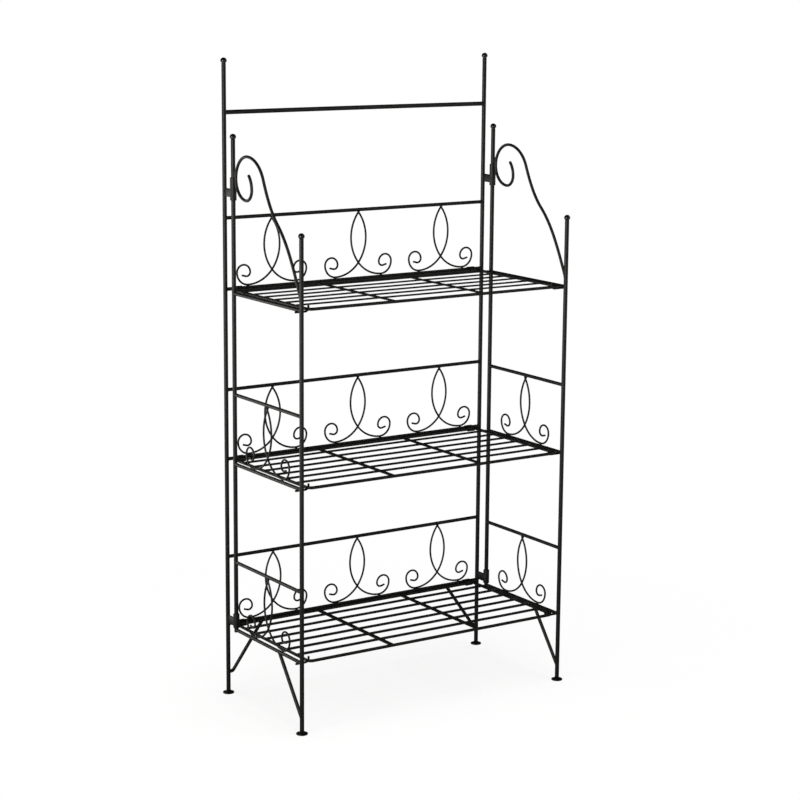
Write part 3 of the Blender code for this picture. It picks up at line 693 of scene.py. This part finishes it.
def weld_run(x, y, low, high, radius, ripple=0.16, pitch=0.0022):
    """An upright bead of weld: a rod of radius r (1 + ripple cos(2 pi h / pitch)) that tapers at its ends,
    with h the height above its foot."""
    t = np.linspace(0, 1, max(9, int((high - low) / pitch * 6)))
    taper = np.sqrt(np.clip(1 - np.abs(2 * t - 1) ** 6, 0.04, 1))
    h = (high - low) * t
    thick = radius * taper * (1 + ripple * np.cos(2 * np.pi * h / pitch))
    return rod(points_at(x, y, low + h), thick, X, 10, 0.6)


def hinge_bracket(side, low, high, plate_low, plate_high):
    """A sleeve turned about the rear post's line from a ring-shaped profile, a plate of flat bar from it to
    the back post, and two upright runs of weld at each end of the plate."""
    x, rim = side * POST_X, SLEEVE_BORE + SLEEVE_WALL
    ring = eased_loop([(rim, low), (rim, high), (SLEEVE_BORE, high), (SLEEVE_BORE, low)], 0.0006, 4)
    rub = 0.7 * (np.abs(ring[:, 1] - (low + high) / 2) > (high - low) / 2 - 0.0005)
    parts = [turned(ring, (x, REAR_Y, 0.0), 36, closed=True, rub=rub)]
    near, far = REAR_Y + SLEEVE_BORE + SLEEVE_WALL / 2, BACK_Y - POST_RADIUS + PLATE_BITE
    tall = (plate_high - plate_low) / 2
    parts.append(flat_bar((x, (near + far) / 2, plate_low + tall), (PLATE_HALF, (far - near) / 2, tall)))
    for out in (-1, 1):
        beside = x + out * (PLATE_HALF + 0.0001)
        for y, radius in ((far, 0.0015), (REAR_Y + rim - 0.0002, 0.0010)):
            parts.append(weld_run(beside, y, plate_low + BEAD_INSET, plate_high - BEAD_INSET, radius))
    return parts


for word, side in SIDES.items():
    for where, plate_rise, plate_height in (("upper", 0.0055, 0.017), ("lower", 0.0015, 0.018)):
        node = f"{where}_hinge_{word}"
        low, high = (corner[2] for corner in node_box(node)[:2])
        parts = hinge_bracket(side, low, high, low + plate_rise, low + plate_rise + plate_height)
        coated(f"{word}_{where}_hinge_bracket", parts, "back_frame", node)
print(f"sleeves: bore {2000 * SLEEVE_BORE:.2f} mm on a post of {2000 * POST_RADIUS:.2f} mm")

# %% [markdown]
# ## Braces
# Short rods stiffen the legs. At the back each leaves the post level, bends at a knee and slopes up to
# the bottom rail. At the sides a straight rod slopes from under the bottom rail down to the front post.

# %% Braces
BRACE_RADIUS, BRACE_BITE = 0.00375, 0.001
BRACE_FOOT, BRACE_STUB, BRACE_REACH = 0.047, 0.006, 0.086
SIDE_BRACE_FOOT, SIDE_BRACE_SETBACK = 0.033, 0.088
for word, side in SIDES.items():
    corners = [(POST_X - RAIL_DIG, BRACE_FOOT), (POST_X - POST_RADIUS - BRACE_STUB, BRACE_FOOT),
               (POST_X - BRACE_REACH, LOWER_Z["bottom"] - BRACE_BITE)]
    x, z = eased(corners, 0.0045, 8).T
    brace = rod(points_at(side * x, BACK_Y, z), BRACE_RADIUS, Y)
    coated(f"{word}_back_brace", [brace], "back_frame", f"back_brace_{word}")
    high_end = (side * POST_X, FRONT_Y + SIDE_BRACE_SETBACK, side_lower_z["bottom"] - BRACE_BITE)
    low_end = (side * POST_X, FRONT_Y + BRACE_BITE, SIDE_BRACE_FOOT)
    brace = bar(high_end, low_end, BRACE_RADIUS, X)
    coated(f"{word}_side_brace", [brace], f"{word}_side", f"side_brace_{word}")
print("braces: 4 of", 2000 * BRACE_RADIUS, "mm rod")

# %% [markdown]
# ## Shelves
# A shelf is a grille: a rear rod that turns in the straps, one rod bent round the other three sides, two
# flat crossbars from back to front, and six flat slats across the top. The slats lie on the bars, and
# small lumps of weld hold every crossing. A thin strip never lies quite flat, so each slat is pulled a
# hair out of line and sags between its welds, and its edges and top are rubbed where pots slide on and
# off. The flat stock of the tabs serves again, along a level line.

# %% Strips and weld lumps
STRIP_HALF, STRIP_EDGE, RUBBED_EDGE = (0.006, 0.001), 0.0004, 0.0012


def strip(start, end, pull=0.0, sag=0.0):
    """Flat stock along the level path start + (end - start) t + pull sin(pi t) w - sag sin(3 pi t)^2 Z,
    with w level across it."""
    start, end = np.array([start, end], float)
    across = np.cross(Z, (end - start) / np.linalg.norm(end - start))
    t = np.linspace(0, 1, 31)[:, None]
    aside, fall = pull * np.sin(np.pi * t), sag * np.sin(3 * np.pi * t) ** 2
    path = start + (end - start) * t + aside * across - fall * Z
    grid, u, v = flat_stock(path, (across, Z), STRIP_HALF, STRIP_EDGE, 4)
    rub = 0.25 * (v > 0) + 0.45 * (np.abs(u) > STRIP_HALF[0] - RUBBED_EDGE)
    return skin(grid, path[[0, -1]], rub)


def weld_lump(place, size):
    """An ellipsoid of weld metal:
    place + size (cos b cos a, cos b sin a, sin b) (1 + 0.09 sin(3a + p) sin(2b + p)), with a phase p from
    its place, so that no two lumps are alike."""
    p = 1000 * np.dot(place, [1.0, 2.3, 3.1])
    a = np.linspace(0, 2 * np.pi, 12, endpoint=False)
    b = np.linspace(-np.pi / 2, np.pi / 2, 9)[1:-1, None]
    ball = points_at(np.cos(b) * np.cos(a), np.cos(b) * np.sin(a), np.sin(b))
    lumpy = 1 + 0.09 * np.sin(3 * a + p) * np.sin(2 * b + p)
    return skin(place + size * ball * lumpy[..., None], place + np.outer((-1, 1), Z * size))


print("strip:", np.multiply(2000, STRIP_HALF).tolist(), "mm")

# %% [markdown]
# One function puts a shelf together, because the three shelves differ only in height. Lumps of weld hold
# it beside each slat's end, beside each crossing of slat and crossbar, and at the crossbars' ends.

# %% Shelves
SLAT_RISE, CROSSBAR_RISE, SLAT_OVERHANG, CROSSBAR_BITE = 0.00265, 0.00105, 0.0012, 0.0006
SHELF_CORNER, SLAT_SAG = 0.010, 0.0002
SLAT_PULLS = (0.0003, -0.0002, 0.00025, -0.0003, 0.00015, -0.00025)
SLAT_Y = SHELF_AXIS_Y + (FRONT_Y - SHELF_AXIS_Y) * np.arange(1, 7) / 7
CROSSBAR_X = np.array([-1, 1]) * POST_X / 3
END_LUMP, CROSSING_LUMP = (0.0016, 0.0046, 0.0010), (0.0014, 0.0040, 0.0010)
CROSSBAR_LUMP = (0.0050, 0.0016, 0.0016)


def shelf(height):
    """Rear rod, bent rod with quarter-circle corners, crossbars, slats and the welds at their ends and
    crossings."""
    reach = SHELF_HALF + SHELF_ROD_RADIUS
    rear = bar((-reach, SHELF_AXIS_Y, height), (reach, SHELF_AXIS_Y, height), SHELF_ROD_RADIUS, Y)
    bend, _ = arc_chain((SHELF_HALF, FRONT_Y + SHELF_CORNER), -90, ((SHELF_CORNER, -90),), 9.0)
    half = np.vstack([[(SHELF_HALF, SHELF_AXIS_Y)], bend])
    outline = np.vstack([half, half[::-1] * [-1, 1]])
    parts = [rear, rod(points_at(*outline.T, height - FRAME_SINK), SHELF_ROD_RADIUS, Z)]
    low = height + CROSSBAR_RISE
    parts += [strip((x, SHELF_AXIS_Y - CROSSBAR_BITE, low), (x, FRONT_Y + CROSSBAR_BITE, low))
              for x in CROSSBAR_X]
    reach = SHELF_HALF + SLAT_OVERHANG
    parts += [strip((-reach, y, height + SLAT_RISE), (reach, y, height + SLAT_RISE), pull, SLAT_SAG)
              for y, pull in zip(SLAT_Y, SLAT_PULLS)]
    parts += [weld_lump((side * (SHELF_HALF + turn * 0.0024), y, height + 0.0013), END_LUMP)
              for side in (-1, 1) for turn in (-1, 1) for y in SLAT_Y]
    parts += [weld_lump((x + turn * 0.0061, y + turn * 0.0002, low + 0.0002), CROSSING_LUMP)
              for x in CROSSBAR_X for turn in (-1, 1) for y in SLAT_Y]
    parts += [weld_lump((x, y, low - 0.0004), CROSSBAR_LUMP)
              for x in CROSSBAR_X for y in (SHELF_AXIS_Y - 0.0033, FRONT_Y + 0.0033)]
    return parts


for tier in TIERS:
    coated(f"{tier}_shelf_grille", shelf(SHELF_Z[tier]), f"{tier}_shelf", f"shelf_{tier}")
print("shelves: slats at y", np.round(SLAT_Y, 3).tolist())

# %% [markdown]
# ## Welds of the frames
# Where a rail runs into a post the welder leaves a small hollow fillet all round. Without it the rods
# would seem to be pushed through each other. A fillet is a ring round the rod that is wide where it lies
# on the post and dies away along the rod. It closes on the inside, in the metal, so that it is a solid
# ring and not an open sleeve.

# %% Fillets
FILLET, SLEEVE_FILLET = 0.0015, 0.0006


def fillet(axis_point, along, radius, size=FILLET):
    """Round the rod by a and out along it by t, the ring's radius is rod + size (1-t)^2 (1 + ripple), and
    its distance from the post's axis is sqrt(post^2 - (radius cos a)^2) + size t, which sets its foot on
    the post's round side."""
    p = 900 * np.dot(axis_point, [1.0, 2.0, 3.0])
    a = np.linspace(0, 2 * np.pi, 20, endpoint=False)
    t = np.linspace(0, 1, 6)[:, None]
    ripple = 0.14 * np.sin(4 * a + p) + 0.08 * np.sin(7 * a + 2 * p)
    ring = radius - 0.0001 + (size + 0.0001) * (1 - t) ** 2 * (1 + ripple)
    ring = np.vstack([ring, np.full((2, 20), 0.7 * radius)])
    aside = np.clip(ring * np.cos(a), -0.97 * POST_RADIUS, 0.97 * POST_RADIUS)
    out = np.sqrt(POST_RADIUS**2 - aside**2) - 0.0002 + size * np.r_[t, [[1.0], [0.0]]]
    rise = ring * np.sin(a)
    grid = aside[..., None] * np.cross(Z, along) + rise[..., None] * Z + out[..., None] * along
    return skin(grid + axis_point)


back_welds = []
for side in SIDES.values():
    x = side * POST_X
    back_welds.append(fillet((x, BACK_Y, top_rail_z), -side * X, TOP_RAIL_RADIUS))
    back_welds += [fillet((x, BACK_Y, z), -side * X, RAIL_RADIUS)
                   for tier in TIERS for z in (LOWER_Z[tier], upper_z[tier])]
    back_welds.append(fillet((x, BACK_Y, BRACE_FOOT), -side * X, BRACE_RADIUS))
    brace_top = (side * (POST_X - BRACE_REACH - 0.001), BACK_Y, LOWER_Z["bottom"] - 0.0028)
    back_welds.append(weld_lump(brace_top, (0.0058, 0.0037, 0.0024)))
print("fillets on the back frame:", len(back_welds))

# %% [markdown]
# The wires are only tacked: one spot under the upper rail where the two wires meet, and one where each
# curl rests on the lower rail. The straps are tacked along the top of their rail. These are small lumps,
# all in one piece for each frame, and that piece moves with the frame.

# %% Tacks on the back frame
STRAP_TACK = (0.0016, 0.0024, 0.0012)


def scroll_tacks(place, across):
    """Lumps at the top of an ornament and at the two places where its curls touch the lower rail."""
    size = 0.0030 * across + 0.0022 * (X + Y - across) + 0.0013 * Z
    up = (clear / 2 + 0.0001) * Z
    curls = [place + side * touch_x * across - up for side in SIDES.values()]
    return [weld_lump(place + up, size * [1.2, 1.2, 1.0])] + [weld_lump(spot, size) for spot in curls]


for tier in TIERS:
    for x in (-bay, 0.0, bay):
        back_welds += scroll_tacks(np.array([x, BACK_Y, LOWER_Z[tier] + GALLERY / 2]), X)
    tack_y, tack_z = BACK_Y + 0.0008, LOWER_Z[tier] + RAIL_RADIUS - 0.0002
    back_welds += [weld_lump((side * STRAP_X + end * STRAP_LENGTH / 2, tack_y, tack_z), STRAP_TACK)
                   for side in SIDES.values() for end in (-1, 1)]
coated("back_frame_welds", back_welds, "back_frame")
print("welds on the back frame:", len(back_welds))

# %% [markdown]
# The side frames have the same fillets and tacks. Beside a hinge sleeve the fillet is kept small, because
# the sleeve's end face has to pass over it when the frame swings.

# %% Welds of the side frames
HOOK_LUMP, LANDING_LUMP = (0.0030, 0.0018, 0.0013), (0.0030, 0.0032, 0.0075)
BRACE_FOOT_LUMP, BRACE_TOP_LUMP = (0.0033, 0.0026, 0.0085), (0.0036, 0.0060, 0.0022)
TAB_BEAD_LOW, TAB_BEAD_HIGH, TAB_BEAD_RADIUS = TAB_Z - 0.0055, TAB_Z + 0.0062, 0.0011
for word, side in SIDES.items():
    x, welds = side * POST_X, []
    for tier in TIERS:
        low = side_lower_z[tier]
        rear_fillet = SLEEVE_FILLET if tier == "bottom" else FILLET
        welds.append(fillet((x, REAR_Y, low), -Y, RAIL_RADIUS, rear_fillet))
        welds.append(fillet((x, FRONT_Y, low), Y, RAIL_RADIUS))
        if tier != "top":
            welds.append(fillet((x, REAR_Y, low + GALLERY), -Y, RAIL_RADIUS))
            welds.append(fillet((x, FRONT_Y, low + GALLERY), Y, RAIL_RADIUS))
            welds += scroll_tacks(np.array([x, side_middle_y, low + GALLERY / 2]), Y)
        hook_z = low - RAIL_RADIUS - 0.0002
        welds += [weld_lump((x, HOOK_Y + end * 0.0020, hook_z), HOOK_LUMP) for end in (-1, 1)]
    for beside in (x - 0.0021, x + 0.0021):
        for y in (REAR_Y - POST_RADIUS + 0.0006, REAR_Y - S_STANDOFF + 0.0018):
            welds.append(weld_run(beside, y, TAB_BEAD_LOW, TAB_BEAD_HIGH, TAB_BEAD_RADIUS))
    welds.append(weld_lump((x, FRONT_Y + 0.0035, s_land[1] + 0.006), LANDING_LUMP))
    welds.append(weld_lump((x, FRONT_Y + 0.0046, SIDE_BRACE_FOOT + 0.007), BRACE_FOOT_LUMP))
    brace_top = (x, FRONT_Y + SIDE_BRACE_SETBACK - 0.002, side_lower_z["bottom"] - 0.0030)
    welds.append(weld_lump(brace_top, BRACE_TOP_LUMP))
    coated(f"{word}_side_welds", welds, f"{word}_side")
    print(f"welds on the {word} side:", len(welds))

# %% [markdown]
# ## Studio paper
# The stand is on seamless white paper that rises into a wall all round, with only a breath of shadow
# between its feet. The paper is white and diffuse, so it takes the shadow. For rays from the camera, by
# way of a gloss or through glass, part of it is white emission, which keeps it as white as a page. That
# part is smaller close to the stand, where the shadow shows. Flat tops seen at a slant mirror the far
# wall, and on the real stand they are black, so in a gloss the wall fades to dark above. A post mirrors
# the floor, further out the higher up one looks, and the legs are blackest near the floor, so in a gloss
# the emission is weak close to the stand and reaches 1 five metres out.

# %% Paper
FADE_FROM, FADE_TO = 0.3, 1.1
paper = bpy.data.materials.new("studio_paper")
paper.use_nodes = True
tree = paper.node_tree
link = tree.links.new
tree.nodes.remove(tree.nodes["Principled BSDF"])
path = tree.nodes.new("ShaderNodeLightPath").outputs
place = tree.nodes.new("ShaderNodeTexCoord").outputs["Object"]
split = tree.nodes.new("ShaderNodeSeparateXYZ")
link(place, split.inputs["Vector"])
above_floor = split.outputs["Z"]
length = tree.nodes.new("ShaderNodeVectorMath")
length.operation = "LENGTH"
link(place, length.inputs[0])
away = length.outputs["Value"]

mirrored = sum_or_product(tree, "ADD", path["Is Glossy Ray"], path["Is Transmission Ray"])
low_down = mapped(tree, above_floor, FADE_FROM, FADE_TO, 1.0, 0.0)
mirrored_low = sum_or_product(tree, "MULTIPLY", mirrored, low_down)
seen = sum_or_product(tree, "ADD", path["Is Camera Ray"], mirrored_low)
matt = tree.nodes.new("ShaderNodeBsdfDiffuse")
link(mapped(tree, above_floor, FADE_FROM, FADE_TO, 0.86, 0.02), matt.inputs["Color"])
white = add_node(tree, "ShaderNodeEmission", Color=(1.0, 1.0, 1.0, 1.0))
brighter = mapped(tree, away, 0.2, 5.0, 0.05, 1.0)
link(sum_or_product(tree, "ADD", path["Is Camera Ray"], brighter), white.inputs["Strength"])
share = mapped(tree, away, 0.45, 1.3, 0.86, 1.0)
blend = tree.nodes.new("ShaderNodeMixShader")
link(sum_or_product(tree, "MULTIPLY", share, seen), blend.inputs["Fac"])
link(matt.outputs["BSDF"], blend.inputs[1])
link(white.outputs["Emission"], blend.inputs[2])
link(blend.outputs["Shader"], tree.nodes["Material Output"].inputs["Surface"])
print("paper nodes:", len(tree.nodes))

# %% [markdown]
# The paper is one surface: a flat floor, a round cove and an upright wall. Its profile is a broken line
# with one eased corner, carried round the stand's middle, so it has no seam from any side.

# %% Floor and wall
FLOOR_RADIUS, WALL_HEIGHT, FLOOR_COVE = 10.0, 3.4, 1.2
profile = [(0.0, 0.0), (FLOOR_RADIUS, 0.0), (FLOOR_RADIUS, WALL_HEIGHT)]
across, height = eased(profile, FLOOR_COVE, 12)[1:].T[:, :, None]
a = np.linspace(0, 2 * np.pi, 64, endpoint=False)
grid = points_at(across * np.cos(a), across * np.sin(a), height)
index = np.arange(grid.size // 3).reshape(grid.shape[:2])
beside = np.roll(index, -1, axis=1)
quads = np.stack([index[:-1], beside[:-1], beside[1:], index[1:]], axis=-1).reshape(-1, 4)
sheet = bpy.data.meshes.new("studio_paper")
sheet.from_pydata(grid.reshape(-1, 3).tolist(), [], [index[0].tolist()] + quads[:, ::-1].tolist())
sheet.materials.append(paper)
floor = add_object("studio_paper", sheet)
print("paper: a floor", 2 * FLOOR_RADIUS, "m across and a wall", WALL_HEIGHT, "m high")

# %% [markdown]
# ## Light
# The rods are dark above, where they face an unlit ceiling, and show a grey sheen where they face the
# paper or a lamp. A dim world is the ceiling, and a large lamp overhead, left out of reflections, lays the
# faint shadow under the shelves. A rod mirrors only what lies on a cone about its own line, so rods in
# each direction need a lamp of their own: one at the left for the posts, a weak one at the front right for
# the rods that run across, and a strip close behind the left side for the rails that run to the front.
# From further away the strip would light the rails of both sides, and on the real stand those of the right
# side are darker. These three are a little warm.

# %% World and lamps
CEILING_LEVEL, WARM_WHITE = 0.02, (1.0, 0.97, 0.92)
world = bpy.data.worlds.new("studio_ceiling")
world.use_nodes = True
bpy.context.scene.world = world
ceiling = world.node_tree.nodes["Background"].inputs
ceiling["Color"].default_value, ceiling["Strength"].default_value = (1.0, 1.0, 1.0, 1.0), CEILING_LEVEL


def soft_lamp(name, place, target, size, watts):
    """A flat lamp of this width and height whose back axis points away from its target, so that it shines
    on it."""
    light = bpy.data.lights.new(name, "AREA")
    light.shape, light.energy = "RECTANGLE", watts
    light.size, light.size_y = size
    lamp = add_object(name, light)
    lamp.visible_camera = False
    back = np.subtract(place, target) / np.linalg.norm(np.subtract(place, target))
    right = np.cross(Y if abs(back[2]) > 0.99 else Z, back)
    right /= np.linalg.norm(right)
    set_stance(lamp, np.column_stack([right, np.cross(back, right), back]), place)
    return lamp


overhead = soft_lamp("overhead_softbox", (0.2, -0.5, 6.0), (0.0, -0.05, 0.0), (3.0, 3.0), 340.0)
overhead.visible_glossy = False
for name, place, target, size, watts in (
        ("left_softbox", (-3.7, -1.2, 1.3), (0.0, 0.0, 0.7), (2.2, 2.2), 110.0),
        ("rear_strip", (-0.85, 0.78, 0.5), (-0.32, -0.02, 0.5), (0.3, 1.2), 4.0),
        ("front_softbox", (2.4, -2.8, 3.2), (0.0, 0.0, 0.7), (1.5, 1.5), 20.0)):
    soft_lamp(name, place, target, size, watts).data.color = WARM_WHITE
bpy.context.scene.view_settings.view_transform = "Standard"
print("lamps:", len(bpy.data.lights))
